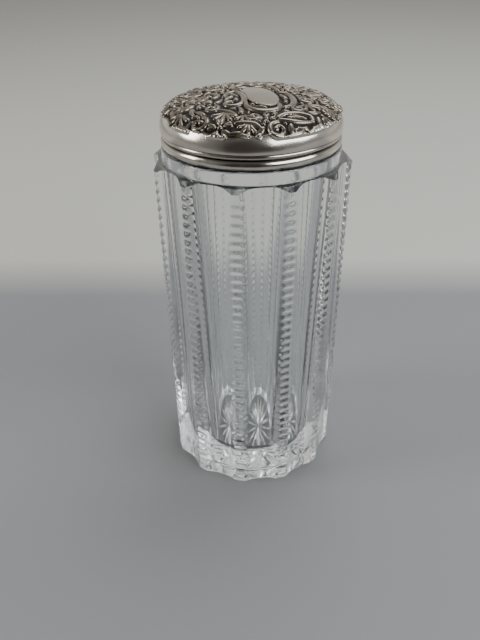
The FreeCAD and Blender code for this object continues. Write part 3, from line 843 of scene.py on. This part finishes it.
for next_radius, next_level in rim_path:
    grown = bmesh.ops.extrude_edge_only(top_bm, edges=ring)["geom"]
    for vert in (item for item in grown if isinstance(item, bmesh.types.BMVert)):
        turn = math.atan2(vert.co.y, vert.co.x)
        vert.co = (next_radius * math.cos(turn), next_radius * math.sin(turn), next_level)
    ring = [item for item in grown if isinstance(item, bmesh.types.BMEdge)]
bmesh.ops.contextual_create(top_bm, geom=ring)
for face in top_bm.faces:
    if len(face.verts) > 4:
        bmesh.ops.triangulate(top_bm, faces=[face])
        break

chased, chased_tree, chased_output = new_material("chased_silver")
chased_place = add_node(chased_tree, "ShaderNodeTexCoord")
chased_recess_shade_and_oxide = add_node(chased_tree, "ShaderNodeAttribute")
chased_recess_shade_and_oxide.attribute_name = "recess"
chased_noise = add_node(chased_tree, "ShaderNodeTexNoise", Scale=700.0, Detail=5.0, Roughness=0.6)
chased_tree.links.new(chased_place.outputs["Object"], chased_noise.inputs["Vector"])
# hollow mask plus noise: painted shade with oxide in the ground and the creases
chased_oxide_and_shade = add_node(chased_tree, "ShaderNodeMath")
chased_oxide_and_shade.operation = "MULTIPLY_ADD"
chased_oxide_and_shade.inputs[1].default_value = 0.3
chased_tree.links.new(chased_noise.outputs["Fac"], chased_oxide_and_shade.inputs[0])
chased_tree.links.new(chased_recess_shade_and_oxide.outputs["Fac"], chased_oxide_and_shade.inputs[2])
chased_patina = add_node(chased_tree, "ShaderNodeAttribute")
chased_patina.attribute_name = "patina"
chased_metal = ramp(chased_tree, chased_patina.outputs["Fac"],
                    [(0.0, (0.70, 0.65, 0.57)), (1.0, (0.25, 0.213, 0.169))])
# painted shade with oxide: the metal colour is multiplied down to near black as the hollow mask rises
chased_shade = ramp(chased_tree, chased_oxide_and_shade.outputs["Value"],
                    [(0.18, (1.0, 1.0, 1.0)), (0.36, (0.55, 0.52, 0.50)),
                     (0.62, (0.12, 0.105, 0.10)), (0.85, (0.03, 0.028, 0.03))])
chased_colour = add_node(chased_tree, "ShaderNodeVectorMath")
chased_colour.operation = "MULTIPLY"
chased_tree.links.new(chased_metal, chased_colour.inputs[0])
chased_tree.links.new(chased_shade, chased_colour.inputs[1])
chased_bright = add_node(chased_tree, "ShaderNodeMapRange", From_Min=0.25, From_Max=0.6,
                         To_Min=1.0, To_Max=0.0)
chased_tree.links.new(chased_oxide_and_shade.outputs["Value"], chased_bright.inputs["Value"])
chased_rough = add_node(chased_tree, "ShaderNodeMapRange", From_Min=0.2, From_Max=0.6,
                        To_Min=0.22, To_Max=0.75)
chased_tree.links.new(chased_oxide_and_shade.outputs["Value"], chased_rough.inputs["Value"])
chased_wave = add_node(chased_tree, "ShaderNodeTexNoise", Scale=90.0, Detail=1.0)
chased_tree.links.new(chased_place.outputs["Object"], chased_wave.inputs["Vector"])
chased_dents = add_node(chased_tree, "ShaderNodeBump", Strength=0.4, Distance=0.0012)
chased_tree.links.new(chased_wave.outputs["Fac"], chased_dents.inputs["Height"])
chased_bump = add_node(chased_tree, "ShaderNodeBump", Strength=0.25, Distance=0.0001)
chased_tree.links.new(chased_noise.outputs["Fac"], chased_bump.inputs["Height"])
chased_tree.links.new(chased_dents.outputs["Normal"], chased_bump.inputs["Normal"])
chased_shader = add_node(chased_tree, "ShaderNodeBsdfPrincipled")
chased_tree.links.new(chased_bright.outputs["Result"], chased_shader.inputs["Metallic"])
chased_tree.links.new(chased_colour.outputs["Vector"], chased_shader.inputs["Base Color"])
chased_tree.links.new(chased_rough.outputs["Result"], chased_shader.inputs["Roughness"])
chased_tree.links.new(chased_bump.outputs["Normal"], chased_shader.inputs["Normal"])
chased_tree.links.new(chased_shader.outputs["BSDF"], chased_output.inputs["Surface"])

top = finish_piece("chased_top", top_bm, chased, 60)
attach(top, "lid")
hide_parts("lid_top")
